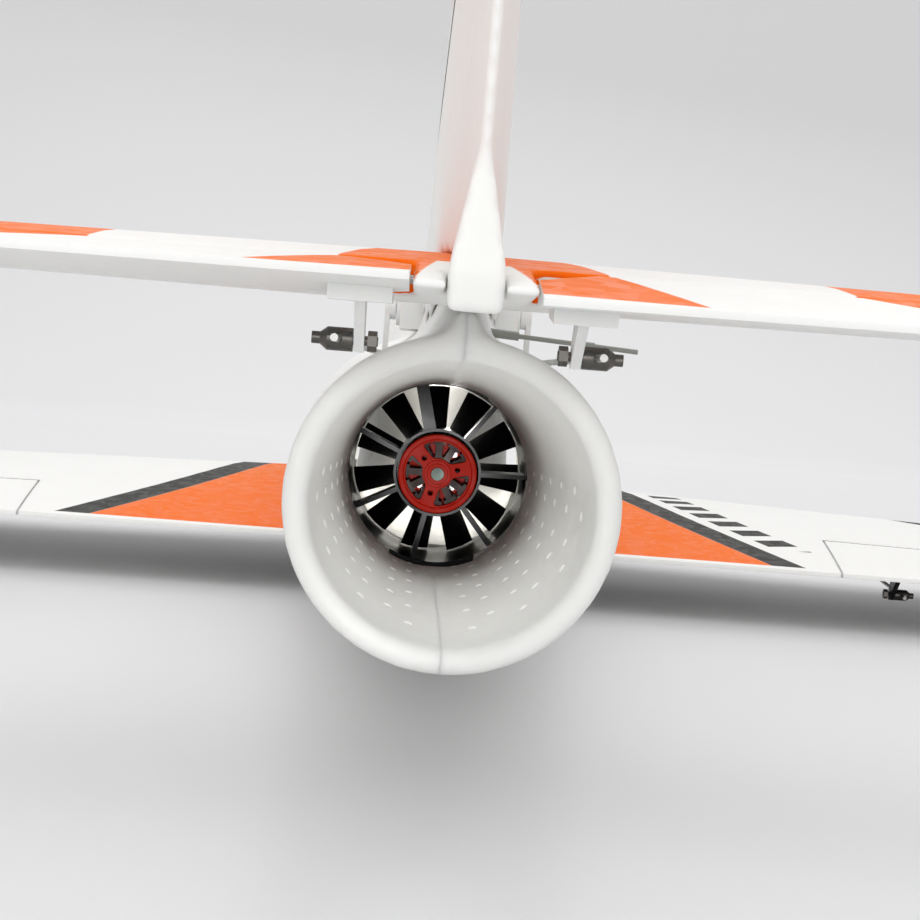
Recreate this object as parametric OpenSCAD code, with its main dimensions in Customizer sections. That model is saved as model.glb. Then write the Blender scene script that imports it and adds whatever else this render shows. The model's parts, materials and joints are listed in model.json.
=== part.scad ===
// Radio-controlled ducted-fan jet in moulded foam, with its fan, motor, servos and linkages.
// Millimetres. +Y is forward, +X is the right wing, +Z is up.
// The origin is under the middle of the overall length, on the surface that the belly rests on.
// Modules work in stations: y from the nozzle exit forward, z from the nozzle's centre up.

/* [Fan] */
// Bore of the fan's shroud
fan_bore = 70; // [69:0.25:70.5]
// Number of rotor blades
blade_count = 11; // [9:1:12]
// Number of fixed vanes behind the rotor
vane_count = 7; // [5:1:7]
// Bore of the nozzle at the exit
nozzle_bore = 61; // [58:0.5:62]
// Outer diameter of the motor's bell
bell_d = 31; // [30:0.25:31.5]

/* [Wing] */
// Distance from the middle to a wing tip
semi_span = 449; // [440:1:460]
// Chord of the wing where it meets the body
root_chord = 235; // [230:1:238]
// Chord of the wing near the tip
tip_chord = 130; // [125:1:140]
// Thickness of the wing, as a share of its chord
wing_t = 0.10; // [0.095:0.001:0.104]
// Inner end of an aileron, from the middle
aileron_in = 166; // [160:1:172]
// Outer end of an aileron, from the middle
aileron_out = 405; // [390:1:410]

/* [Tail] */
// Distance from the middle to a tailplane tip
stab_semi = 168; // [160:1:176]
// Height of the fin's tip above the nozzle's centre
fin_top = 188; // [180:1:195]
// Nose-up setting of the tailplane, in degrees
stab_pitch = 4; // [2:0.5:5]
// How far the left elevator hangs below neutral at rest, in degrees
droop_left = -2; // [-3:0.5:1]
// How far the right elevator hangs below neutral at rest, in degrees
droop_right = 3; // [0:0.5:4]

/* [Hidden] */
$fn = 48;

nose_y = 960;
rear_y = -75;
belly_z = -60;
mid_y = (nose_y + rear_y) / 2;
gap = 0.15;
eps = 0.01;

// The fan and its motor
fan_z = -10.4;
fan_r = fan_bore / 2;
shroud_wall = 1.5;
shroud_r = fan_r + shroud_wall;
fan_rear = 330;
fan_front = 392;
hub_r = 17.4;
tube_r = 16.4;
bell_r = bell_d / 2;
bell_rear = 326;
bulkhead_y = 361;
rotor_y = 367;
rotor_len = 20;
shaft_r = 2.5;
spoke_phase = 14;
blade_phase = -3.5;
vane_phase = 1;
bolt_r = 8;
lug_w = 33;
lug_z = 40;

// The wing: its trailing edge is straight and level
wing_te_y = 325;
wing_te_z = -38;
wing_in = 38;
taper_from = 48;
wing_pitch = 1.2;
wing_camber = 0.015;
wing_te_t = 1.8;
hinge_frac = 0.26;
spar_y = 470;
spar_z = -33;
spar_r = 4;
spar_half = 250;
nose_clear = 0.6;
aileron_arm = 14;

// The tail
stab_z = 45;
stab_t = 11;
stab_hinge_y = -27;
elev_in = 12;
elev_out = 160;
horn_x = 21;
servo_arm_x = 17.2;
elevator_arm = 12.5;
elev_servo_y = 122;
fin_half = 10.5;

// Body outline, at each station: y, half width, top, bottom, squareness
BODY = [
    [0, 36, 36, -36, 2],
    [80, 39.5, 37.5, -41.5, 2.05],
    [160, 45, 39, -48, 2.1],
    [250, 50, 41, -54.5, 2.2],
    [330, 53.5, 43, -59, 2.3],
    [420, 55, 45, -60.6, 2.4],
    [520, 51, 46.5, -60.8, 2.4],
    [612, 43, 46, -60, 2.4],
    [700, 38, 40, -55.5, 2.3],
    [800, 30.5, 28, -47.5, 2.2],
    [880, 21.5, 13, -38.5, 2.1],
    [930, 12.5, -1, -30, 2],
    [952, 6.5, -9.5, -22.5, 2],
    [960, 2, -14, -18, 2]
];
// Back ridge that carries the canopy and runs into the fin: y, half width, top
RIDGE = [
    [2, 4, 43.2],
    [30, 6.8, 43.4],
    [60, 9.6, 50],
    [120, 13.2, 56],
    [184, 14.8, 58],
    [260, 15.5, 57],
    [340, 17, 56.5],
    [420, 21, 58.5],
    [500, 27, 64],
    [560, 32, 70.5],
    [620, 34.5, 76],
    [680, 34, 76.5],
    [740, 30, 70],
    [790, 23.5, 57],
    [830, 15, 40],
    [852, 6, 25]
];
// Intake cheek: y, centre x, half width, half height
CHEEK = [
    [400, 33, 19, 26],
    [470, 36.5, 21, 31.5],
    [540, 39, 23.5, 35],
    [600, 40.5, 25.2, 36],
    [612, 40.8, 24.4, 35.2]
];
// One branch of the intake duct: y, centre x, centre z, half width, half height
BRANCH = [
    [398, 0.1, fan_z, 34.4, 34.4],
    [430, 10, -6, 26, 32],
    [470, 22.5, 1, 18.5, 27.5],
    [540, 38, 3.5, 15.5, 25],
    [600, 50.6, -3, 11, 29.5],
    [614, 51.6, -4, 12.4, 31.4],
    [660, 56.6, -4, 12.4, 31.4]
];
cheek_z = -4;
// The canopy's joint with the body is a sloping plane
split_y = [540, 853];
split_z = [38, 12];
// The clear part of the canopy
glass_y = [604, 838];
glass_wall = 1.2;

// ---- curves ----
function span_of(p, y, i = 0) = (i >= len(p) - 2 || y < p[i + 1][0]) ? i : span_of(p, y, i + 1);
function slope(p, i, k) =
    let (a = max(i - 1, 0), b = min(i + 1, len(p) - 1))
    (p[b][k] - p[a][k]) / (p[b][0] - p[a][0]);
// Value k of table p at station y, on a smooth curve through the table's rows
function curve(p, y, k) =
    let (i = span_of(p, y), h = p[i + 1][0] - p[i][0], t = (y - p[i][0]) / h)
    p[i][k] * (1 + 2 * t) * (1 - t) * (1 - t) + slope(p, i, k) * h * t * (1 - t) * (1 - t)
    + p[i + 1][k] * t * t * (3 - 2 * t) - slope(p, i + 1, k) * h * t * t * (1 - t);
function power(v, n) = sign(v) * pow(abs(v), 2 / n);
// Superellipse in the plane at station y
function oval(y, cx, cz, hw, hh, n = 2, count = 32) = [
    for (i = [0 : count - 1])
        let (a = 360 * (i + 0.5) / count)
        [cx + hw * power(cos(a), n), y, cz + hh * power(sin(a), n)]
];
function steps(a, b, count) = [for (i = [0 : count]) a + (b - a) * i / count];

// Solid through rings of points; flat ends are fans, or strips across a wing section
module loft(rings, strip = false) {
    n = len(rings[0]);
    m = len(rings);
    sides = [
        for (j = [0 : m - 2], i = [0 : n - 1])
            let (a = j * n + i, b = j * n + (i + 1) % n)
            each [[a, b, b + n], [a, b + n, a + n]]
    ];
    function cap(base, flip) =
        let (f = strip
            ? [for (i = [0 : n / 2 - 2]) each
                [[i, n - 1 - i, n - 2 - i], [i, n - 2 - i, i + 1]]]
            : [for (i = [1 : n - 2]) [0, i + 1, i]])
        [for (t = f) [for (v = flip ? [t[2], t[1], t[0]] : t) base + v]];
    polyhedron(
        points = [for (r = rings) each r],
        faces = concat(sides, cap(0, false), cap((m - 1) * n, true))
    );
}
// Curved foam mouldings hold no fits, so each is taken as one mesh
module moulded() resize([0, 0, 0]) children();
module along_y(p) translate(p) rotate([-90, 0, 0]) children();
module along_x(p) translate(p) rotate([0, 90, 0]) children();
module box(low, high) translate(low) cube(high - low);
module swing(at, angle) translate(at) rotate([angle, 0, 0]) translate(-at) children();
module right_half() box([0, rear_y - 50, -200], [600, nose_y + 50, 300]);
module side(s) if (s > 0) children(); else mirror([1, 0, 0]) children();
// Round bar along the line from a to b, between two distances from a
module bar(a, b, r, from, to) {
    v = (b - a) / norm(b - a);
    translate(a + v * from) rotate([0, acos(v[2]), atan2(v[1], v[0])]) cylinder(r = r, h = to - from);
}
module ring(r_out, r_in, h) difference() {
    cylinder(r = r_out, h = h);
    translate([0, 0, -1]) cylinder(r = r_in, h = h + 2);
}

// ---- body ----
module body_loft(grow = 0) {
    stations = concat(steps(0, 80, 2), steps(120, 600, 12), steps(640, 880, 6),
        [905, 930, 945, 955, 960]);
    loft([
        for (y = stations)
            let (t = curve(BODY, y, 2), b = curve(BODY, y, 3))
            oval(y, 0, (t + b) / 2, curve(BODY, y, 1) + grow, (t - b) / 2 + grow, curve(BODY, y, 4))
    ]);
}
function ridge_base(y) = curve(BODY, y, 2) - 22;
module ridge_loft(grow = 0, from = 2, to = 852) {
    loft([
        for (y = steps(from, to, 26))
            let (base = ridge_base(y))
            oval(y, 0, base, curve(RIDGE, y, 1) + grow, curve(RIDGE, y, 2) - base + grow, 2.3, 28)
    ]);
}
module cheek() loft([
    for (y = concat(steps(400, 600, 6), [612]))
        oval(y, curve(CHEEK, y, 1), cheek_z, curve(CHEEK, y, 2), curve(CHEEK, y, 3), 2.4, 28)
]);
module intake_branch() loft([
    for (y = concat(steps(398, 598, 8), [614, 660]))
        oval(y, curve(BRANCH, y, 1), curve(BRANCH, y, 2), curve(BRANCH, y, 3), curve(BRANCH, y, 4),
            2.2, 24)
]);
function duct_r(y) = nozzle_bore / 2 + (fan_r - nozzle_bore / 2) * max(0, y - 24) / (fan_rear - 24);
function duct_z(y) = fan_z * max(0, y - 24) / (fan_rear - 24);
module thrust_duct() loft([
    for (y = [-5, 24, 60, 120, 180, 240, 300, fan_rear + 1])
        oval(y, 0, duct_z(y), duct_r(y), duct_r(y), 2, 40)
]);
module split_region() {
    points = [
        [split_y[0], split_z[0]], [split_y[1], split_z[1]],
        [split_y[1], 120], [split_y[0], 120]
    ];
    rotate([90, 0, 90]) translate([0, 0, -80]) linear_extrude(160) polygon(points);
}
bay_z = -40;
module battery_bay() hull() {
    box([-21, 592, bay_z], [21, 702, 45]);
    box([-16, 784, bay_z], [16, 786, 42]);
}
module esc_bay() box([-8, 518, -18], [8, 595, 20]);
// Room for the fan unit, with a notch behind each lug, and the belly hatch under it
module fan_room() {
    along_y([0, fan_rear - gap, fan_z]) cylinder(r = shroud_r + gap, h = fan_front - fan_rear + 2 * gap);
    along_y([0, fan_front - 4, fan_z]) cylinder(r = fan_r + 5.2, h = 10);
    translate([0, 0, fan_z]) for (s = [0, 1]) mirror([0, 0, s]) {
        box([-lug_w / 2 - gap, fan_rear - gap, 0], [lug_w / 2 + gap, fan_rear + 10 + gap, lug_z + gap]);
        hull() {
            box([-lug_w / 2 - gap, fan_rear - gap, 0], [lug_w / 2 + gap, fan_rear, lug_z]);
            box([-lug_w / 2 - gap, fan_rear - 34, 0], [lug_w / 2 + gap, fan_rear - 33, 33]);
        }
        for (x = [-11, 11]) along_y([x, fan_rear, lug_z - 2.6]) cylinder(r = 1.05, h = 22);
    }
}
hatch_y = [fan_rear - 10, fan_front + 14];
hatch_lip = 12;
hatch_lip_z = belly_z + 9;
module hatch_region(grow = 0) {
    box([-38 - grow, hatch_y[0] - grow, -90], [38 + grow, hatch_y[1] + grow, fan_z + grow]);
    box([-38 - grow, hatch_y[0] - hatch_lip - grow, -90],
        [38 + grow, hatch_y[1] + hatch_lip + grow, hatch_lip_z + grow]);
}
module belly_flat() box([-100, -100, -100], [100, 1000, belly_z]);
module hull_shape() {
    body_loft();
    ridge_loft();
    for (s = [-1, 1]) side(s) cheek();
}
module fuselage_half() moulded() difference() {
    intersection() {
        hull_shape();
        right_half();
    }
    thrust_duct();
    fan_room();
    intake_branch();
    battery_bay();
    esc_bay();
    split_region();
    hatch_region(gap);
    belly_flat();
    wing_loft(0.2);
    along_x([-5, spar_y, spar_z]) cylinder(r = spar_r + 0.2, h = 60);
    wing_bolt_room();
    elevator_servo_room();
    tail_seat();
    clip_socket_room();
    hatch_screw_holes();
    lead_room();
    aerial_room();
}
module fuselage_left() color("white") side(-1) fuselage_half();
module fuselage_right() color("white") side(1) fuselage_half();

screw_y = [hatch_y[0] - hatch_lip / 2, hatch_y[1] + hatch_lip / 2];
screw_x = 29;
module hatch_screw_holes() for (y = screw_y) translate([screw_x, y, -80]) {
    cylinder(r = 1.6, h = 80 - 37);
    cylinder(r = 3.2, h = 80 + belly_z + 4.2);
}
module fan_hatch() color("white") moulded() difference() {
    intersection() {
        body_loft();
        hatch_region();
    }
    fan_room();
    thrust_duct();
    for (s = [-1, 1]) side(s) {
        intake_branch();
        hatch_screw_holes();
    }
    belly_flat();
}
module hatch_screws() color("dimgray") for (s = [-1, 1], y = screw_y)
    side(s) translate([screw_x, y, belly_z + 4.1]) {
        cylinder(r = 1.5, h = 18);
        difference() {
            translate([0, 0, -2]) cylinder(r = 2.8, h = 2);
            for (a = [0, 90]) rotate(a) translate([-2, -0.35, -2.1]) cube([4, 0.7, 1]);
        }
    }

// ---- canopy ----
module canopy_frame() color("white") moulded() difference() {
    intersection() {
        hull_shape();
        translate([0, 0, gap]) split_region();
        box([-100, split_y[0] + gap, 0], [100, split_y[1] - gap, 120]);
    }
    glass_region(0.1);
    hull() {
        box([-20, 596, 0], [20, 598, 52]);
        box([-22, 660, 0], [22, 662, 58]);
        box([-13, 780, 0], [13, 782, 38]);
    }
    for (y = clip_y) translate([0, y, split_at(y) - 1]) cube([4.4, 8.4, 13], center = true);
}
// Everything above a curved sill, between the front and rear arches of the glazing
module glass_block(grow) hull() for (p = [
        [glass_y[0], 52], [glass_y[0] + 60, 47], [glass_y[1] - 60, 30], [glass_y[1], 18]
    ]) box([-60, p[0] - grow, p[1] - grow], [60, p[0] + grow + eps, 100]);
module glass_region(grow) difference() {
    intersection() {
        ridge_loft(1);
        glass_block(grow);
    }
    ridge_loft(-glass_wall - grow, 10, 846);
}
module canopy_glass() color("dimgray") moulded() difference() {
    intersection() {
        ridge_loft();
        glass_block(0);
    }
    ridge_loft(-glass_wall, 10, 846);
}
clip_y = [552, 845];
function split_at(y) = split_z[0] + (split_z[1] - split_z[0]) * (y - split_y[0]) / (split_y[1] - split_y[0]);
module canopy_clips() color("whitesmoke") for (y = clip_y)
    translate([0, y, split_at(y)]) {
        translate([-2, -4, -8]) cube([4, 8, 13.4]);
        translate([-2, -4.6, -8]) cube([4, 9.2, 2]);
    }
module clip_socket_room() for (y = clip_y)
    translate([0, y, split_at(y) - 6.4]) cube([11, 15, 14], center = true);
module clip_sockets() color("whitesmoke") for (y = clip_y)
    translate([0, y, split_at(y) - 1]) difference() {
        translate([-5.4, -7.4, -11.5]) cube([10.8, 14.8, 11]);
        translate([-2.3, -4.9, -9.5]) cube([4.6, 9.8, 10]);
    }

// ---- wing ----
function taper(x) = root_chord + (tip_chord - root_chord) * (max(x, taper_from) - taper_from)
    / (semi_span - taper_from);
// The tip rounds off over its last stretch: 1 inboard of it, near 0 at the end
round_from = 412;
function tip_keep(x) = x <= round_from ? 1
    : sqrt(max(0.02, 1 - pow((x - round_from) / (semi_span - round_from), 2)));
function chord(x) = taper(x) - 58 * (1 - tip_keep(x));
function te_y(x) = wing_te_y + 10 * (1 - tip_keep(x));
function camber(f) = f < 0.4 ? wing_camber / 0.16 * (0.8 * f - f * f)
    : wing_camber / 0.36 * (0.2 + 0.8 * f - f * f);
function half_t(f) = 5 * wing_t * (0.2969 * sqrt(f) - 0.126 * f - 0.3516 * f * f
    + 0.2843 * pow(f, 3) - 0.1036 * pow(f, 4));
// Point of the wing at span x and share f of the chord from the leading edge; s is 1 on top,
// -1 below and 0 on the camber line
function wing_point(x, f, s, grow = 0) =
    let (c = chord(x), k = tip_keep(x), back = (1 - f) * c)
    [x, te_y(x) + back + grow * (2 * (1 - f) - 1),
        wing_te_z + back * tan(wing_pitch) + c * camber(f)
        + s * (k * (c * half_t(f) + wing_te_t / 2 * f) + grow)];
section_n = 15;
function section_f(i) = (1 - cos(180 * i / section_n)) / 2;
function section(x, grow = 0) = concat(
    [for (i = [section_n : -1 : 0]) wing_point(x, section_f(i), 1, grow)],
    [for (i = [0 : section_n]) wing_point(x, section_f(i), -1, grow + (i == 0 ? 0.05 : 0))]
);
module wing_loft(grow = 0) loft([
    for (x = [wing_in - grow, taper_from, aileron_in, aileron_out, round_from, 424, 434, 441, 446, semi_span])
        section(x, grow)
], true);

hinge_a = wing_point(aileron_in, 1 - hinge_frac, 0);
hinge_b = wing_point(aileron_out, 1 - hinge_frac, 0);
hinge_dir = (hinge_b - hinge_a) / norm(hinge_b - hinge_a);
hinge_len = norm(hinge_b - hinge_a);
nose_ra = (wing_point(aileron_in, 1 - hinge_frac, 1) - hinge_a)[2] - 0.25;
nose_rb = (wing_point(aileron_out, 1 - hinge_frac, 1) - hinge_b)[2] - 0.25;
hinge_yaw = atan2(hinge_dir[1], hinge_dir[0]);
hinge_pitch = -asin(hinge_dir[2]);
// Local x runs along the aileron's hinge from its inner end, local y forward, local z up
module on_hinge() translate(hinge_a) rotate([0, hinge_pitch, hinge_yaw]) children();
module hinge_cone(grow = 0, ends = 0) on_hinge() rotate([0, 90, 0])
    translate([0, 0, -ends]) cylinder(r1 = nose_ra + grow, r2 = nose_rb + grow, h = hinge_len + 2 * ends);
module behind_hinge(ends) on_hinge() translate([-ends, -150, -40]) cube([hinge_len + 2 * ends, 150, 80]);
pin_r = 1;
pin_len = 16;
module aileron_pin_bores(r) for (x = [-pin_len / 2, hinge_len - pin_len / 2])
    on_hinge() translate([x, 0, 0]) rotate([0, 90, 0]) cylinder(r = r, h = pin_len);
module aileron_pins() color("silver") for (s = [-1, 1]) side(s) aileron_pin_bores(pin_r);

// The servo, its arm, the horn and the rod all lie square to the hinge, in its frame
horn_at_x = 30;
arm_at = [horn_at_x, 62, 2.2];
aileron_horn_at = [horn_at_x, 0, 0];
module servo_room(axis) translate(axis) {
    box([-23.2, -17.3, -30], [-0.3, 6.3, 6.1]);
    box([-11.9, -21.9, -30], [-9.5, 10.9, 6.1]);
    box([-0.4, -9, -30], [9, 9, 5]);
}
bolt_at = [46, 448];
bolt_z = -40;
module wing_bolt_room() translate([bolt_at[0], bolt_at[1], bolt_z]) {
    translate([0, 0, -1]) cylinder(r = 2.1, h = 31);
    translate([0, 0, -60]) cylinder(r = 3.8, h = 60);
}
module wing_bolts() color("black") for (s = [-1, 1]) side(s) translate([bolt_at[0], bolt_at[1], bolt_z]) {
    cylinder(r = 2, h = 29);
    difference() {
        translate([0, 0, -2.4]) cylinder(r = 3.5, h = 2.4);
        translate([0, 0, -2.5]) cylinder(r = 1.7, h = 1.5, $fn = 6);
    }
}
module wing_half() difference() {
    wing_loft();
    hinge_cone(nose_clear, 0.8);
    behind_hinge(0.8);
    along_x([wing_in - 1, spar_y, spar_z]) cylinder(r = spar_r + 0.05, h = spar_half - wing_in + 2);
    on_hinge() servo_room(arm_at);
    wing_bolt_room();
    aileron_pin_bores(pin_r);
}
module wing_left() color("white") side(-1) wing_half();
module wing_right() color("white") side(1) wing_half();
module wing_spar() color("black")
    along_x([-spar_half, spar_y, spar_z]) ring(spar_r, spar_r - 1, 2 * spar_half);

// Horn: a plate under the surface and a blade down to the pivot hole
module horn(hinge, drop, surface) translate(hinge) difference() {
    union() {
        translate([-1, 0, 0]) rotate([90, 0, 90]) linear_extrude(2)
            polygon([[-2.1, -drop - 1.1], [-0.8, -drop - 2.3], [0.8, -drop - 2.3], [2.2, -drop - 0.8],
                [1.6, -drop + 2], [-1.5, -surface - 0.6], [-1.5, 0], [-13, 0], [-13, -surface - 0.6]]);
        translate([-6, -16, -surface - 1]) cube([12, 14, 1 + surface]);
    }
    translate([-5, 0, -drop]) rotate([0, 90, 0]) cylinder(r = horn_hole_r, h = 10);
    for (p = [[-1.6, 3], [-3.2, 6]])
        translate([-5, p[0], -drop + p[1]]) rotate([0, 90, 0]) cylinder(r = 0.75, h = 10);
}
stem_r = 0.95;
horn_hole_r = 1;
wire_r = 0.75;
barrel_r = 2.3;
rod_off = 4;
// Swivel barrel: a stem through the horn, a body that the wire passes through, and its screw
module barrel(at, wire) difference() {
    translate(at) rotate([0, 90, 0]) {
        translate([0, 0, -3.6]) cylinder(r = stem_r, h = 5);
        translate([0, 0, -3.4]) cylinder(r = 2, h = 1.8, $fn = 6);
        translate([0, 0, 1.2]) cylinder(r = barrel_r, h = 5);
        translate([0, 0, 6.2]) cylinder(r1 = barrel_r, r2 = 1.2, h = 1.4);
        translate([0, 0, 7.6]) cylinder(r = 1.2, h = 1.6);
    }
    bar(at + [rod_off, 0, 0], at + [rod_off, 0, 0] + wire, wire_r + 0.05, -10, 10);
}
// Servo arm hanging from its spline, with the wire's hole at the end
module servo_arm(axis, drop) translate(axis) difference() {
    union() {
        rotate([0, 90, 0]) cylinder(r = 3.1, h = 3);
        translate([1.6, 0, 0]) hull() {
            rotate([0, 90, 0]) cylinder(r = 2.9, h = 1.4, $fn = 24);
            translate([0, 0, -drop]) rotate([0, 90, 0]) cylinder(r = 1.9, h = 1.4, $fn = 24);
        }
    }
    translate([-1, 0, 0]) rotate([0, 90, 0]) cylinder(r = spline_r + 0.05, h = 2.6);
    translate([-1, 0, -drop]) rotate([0, 90, 0]) cylinder(r = wire_r + 0.08, h = 8);
    translate([2.2, 0, 0]) rotate([0, 90, 0]) cylinder(r = 1.3, h = 4);
}
spline_r = 1.3;
// Servo on its side, its spline standing along x from the face; deep is the case's depth
module servo(axis, deep) translate(axis) {
    box([-deep - 1.5, -17, -5.8], [-1.5, 6, 5.8]);
    box([-11.5, -21.5, -5.8], [-9.9, 10.5, 5.8]);
    along_x([-1.6, 0, 0]) cylinder(r = 4.6, h = 1.4);
    along_x([-0.4, 0, 0]) cylinder(r = spline_r, h = 1.9);
}

module aileron_half() {
    difference() {
        union() {
            intersection() {
                wing_loft();
                behind_hinge(-0.1);
            }
            intersection() {
                hinge_cone(0, -0.1);
                on_hinge() translate([-1, -20, -20]) cube([hinge_len + 2, 40, 40]);
            }
        }
        aileron_pin_bores(pin_r + 0.05);
    }
}
module aileron_left() color("white") side(-1) aileron_half();
module aileron_right() color("white") side(1) aileron_half();
aileron_under = 6.2;
module aileron_horn_half() difference() {
    on_hinge() horn(aileron_horn_at, aileron_arm, aileron_under);
    wing_loft();
}
module aileron_horn_left() color("black") side(-1) aileron_horn_half();
module aileron_horn_right() color("black") side(1) aileron_horn_half();
aileron_pivot = aileron_horn_at - [0, 0, aileron_arm];
aileron_arm_end = arm_at - [0, 0, aileron_arm];
module aileron_barrel_half() on_hinge() barrel(aileron_pivot, aileron_arm_end - aileron_pivot);
module aileron_barrel_left() color("gray") side(-1) aileron_barrel_half();
module aileron_barrel_right() color("gray") side(1) aileron_barrel_half();
// Wire with its end bent square through the arm's hole
module rod(arm_end, pivot, tail) {
    a = arm_end + [rod_off, 0, 0];
    b = pivot + [rod_off, 0, 0];
    translate(a) sphere(r = wire_r + 0.04, $fn = 16);
    bar(a, b, wire_r, 0, norm(b - a) + tail);
    along_x(arm_end + [-0.2, 0, 0]) cylinder(r = wire_r, h = rod_off + 0.2);
}
module aileron_rod_left() color("silver") side(-1) on_hinge() rod(aileron_arm_end, aileron_pivot, 9);
module aileron_rod_right() color("silver") side(1) on_hinge() rod(aileron_arm_end, aileron_pivot, 9);
module aileron_servo_left() color("steelblue") side(-1) on_hinge() servo(arm_at, 21);
module aileron_servo_right() color("steelblue") side(1) on_hinge() servo(arm_at, 21);
module aileron_servo_arm_left() color("white") side(-1) on_hinge() servo_arm(arm_at, aileron_arm);
module aileron_servo_arm_right() color("white") side(1) on_hinge() servo_arm(arm_at, aileron_arm);

// ---- tail ----
// Tailplane section at span x: leading edge, hinge line and trailing edge
function stab_le(x) = 56 - 34 * x / stab_semi;
function stab_te(x) = -58 + 9 * x / stab_semi;
stab_round = 150;
function stab_keep(x) = x <= stab_round ? 1
    : sqrt(max(0.03, 1 - pow((x - stab_round) / (stab_semi - stab_round), 2)));
function stab_thick(x) = (stab_t - 3 * x / stab_semi) * stab_keep(x);
function stab_half(f) = 2.9 * (0.2969 * sqrt(f) - 0.126 * f - 0.3516 * f * f
    + 0.2843 * pow(f, 3) - 0.1036 * pow(f, 4)) / 0.29;
function stab_point(x, f, s, grow) =
    let (le = stab_le(x) - 22 * (1 - stab_keep(x)) + grow, te = stab_te(x) + 14 * (1 - stab_keep(x)) - grow)
    [x, le + (te - le) * f, stab_z + s * (stab_thick(x) / 2 * stab_half(f) + 0.7 * f + grow)];
function stab_section(x, grow) = concat(
    [for (i = [10 : -1 : 0]) stab_point(x, (1 - cos(18 * i)) / 2, 1, grow)],
    [for (i = [0 : 10]) stab_point(x, (1 - cos(18 * i)) / 2, -1, grow + (i == 0 ? 0.05 : 0))]
);
module stab_loft(grow = 0) loft([
    for (x = [-stab_semi, -163, -157, -stab_round, 0, stab_round, 157, 163, stab_semi])
        [for (p = stab_section(abs(x), grow)) [x, p[1], p[2]]]
], true);
function stab_frac(x) = (stab_le(x) - stab_hinge_y) / (stab_le(x) - stab_te(x));
function stab_nose(x) = stab_thick(x) / 2 * stab_half(stab_frac(x)) + 0.7 * stab_frac(x) - 0.15;
elev_len = elev_out - elev_in;
module elevator_cone(grow, ends) along_x([elev_in - ends, stab_hinge_y, stab_z])
    cylinder(r1 = stab_nose(elev_in) + grow, r2 = stab_nose(elev_out) + grow, h = elev_len + 2 * ends);
module behind_elevator(ends) box([elev_in - ends, -100, 0], [elev_out + ends, stab_hinge_y, 100]);
module elevator_pin_bores(r) for (x = [elev_in - 4, elev_out - 4])
    along_x([x, stab_hinge_y, stab_z]) cylinder(r = r, h = 10);
elevator_hinge = [0, stab_hinge_y, stab_z];
// Everything of the tailplane is drawn level, then tipped nose up about the hinge line
module tipped(angle = stab_pitch) swing(elevator_hinge, angle) children();
module tailplane() color("white") tipped() difference() {
    stab_loft();
    for (s = [-1, 1]) side(s) {
        elevator_cone(nose_clear, 0.6);
        behind_elevator(0.6);
        elevator_pin_bores(0.9);
    }
    box([-5.4, -100, 0], [5.4, notch_y, 100]);
}
module elevator_pins() color("silver") tipped() for (s = [-1, 1]) side(s) elevator_pin_bores(0.9);
module elevator_half() difference() {
    union() {
        intersection() {
            stab_loft();
            behind_elevator(0);
        }
        elevator_cone(0, 0);
    }
    elevator_pin_bores(0.95);
    translate([elev_in, stab_hinge_y - 12, 0]) rotate(-45) box([-30, -60, 0], [0, 20, 100]);
}
// Tip of an elevator from level; s is -1 on the left and 1 on the right
function tip_of(s) = stab_pitch + (s < 0 ? droop_left : droop_right);
// Point that hangs the arm's length under p, tipped by a
function hung(p, arm, a) = p + [0, arm * sin(a), -arm * cos(a)];
module elevator_at(s) side(s) tipped(tip_of(s)) elevator_half();
module elevator_left() color("white") elevator_at(-1);
module elevator_right() color("white") elevator_at(1);
horn_at = [horn_x, stab_hinge_y, stab_z];
module elevator_horn_at(s) side(s) tipped(tip_of(s)) difference() {
    horn(horn_at, elevator_arm, 4);
    stab_loft();
}
module elevator_horn_left() color("whitesmoke") elevator_horn_at(-1);
module elevator_horn_right() color("whitesmoke") elevator_horn_at(1);
function elevator_pivot(s) = hung(horn_at, elevator_arm, tip_of(s));
elev_servo_axis = [servo_arm_x, elev_servo_y, stab_z];
function elevator_arm_end(s) = hung(elev_servo_axis, elevator_arm, tip_of(s));
module elevator_barrel_at(s) side(s) barrel(elevator_pivot(s), elevator_arm_end(s) - elevator_pivot(s));
module elevator_barrel_left() color("gray") elevator_barrel_at(-1);
module elevator_barrel_right() color("gray") elevator_barrel_at(1);
module elevator_rod_left() color("silver") side(-1) rod(elevator_arm_end(-1), elevator_pivot(-1), 12);
module elevator_rod_right() color("silver") side(1) rod(elevator_arm_end(1), elevator_pivot(1), 12);
module elevator_servo_arm_at(s) side(s)
    swing(elev_servo_axis, tip_of(s)) servo_arm(elev_servo_axis, elevator_arm);
module elevator_servo_arm_left() color("white") elevator_servo_arm_at(-1);
module elevator_servo_arm_right() color("white") elevator_servo_arm_at(1);
// Shallow servos, back to back in the fin's root
module elevator_servo_left() color("steelblue") side(-1) servo(elev_servo_axis, 12);
module elevator_servo_right() color("steelblue") side(1) servo(elev_servo_axis, 12);
module elevator_servo_room() translate(elev_servo_axis) {
    box([-14, -17.3, -6.1], [30, 6.3, 6.1]);
    box([-11.9, -21.8, -6.1], [-9.5, 10.8, 6.1]);
    box([-0.8, -9, -20], [30, 9, 10]);
    box([2, -50, -16.5], [9.5, -8, 10]);
}
module tail_seat() tipped() box([-40, -60, stab_z - stab_t / 2 - 0.45], [40, 62, 120]);

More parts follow.
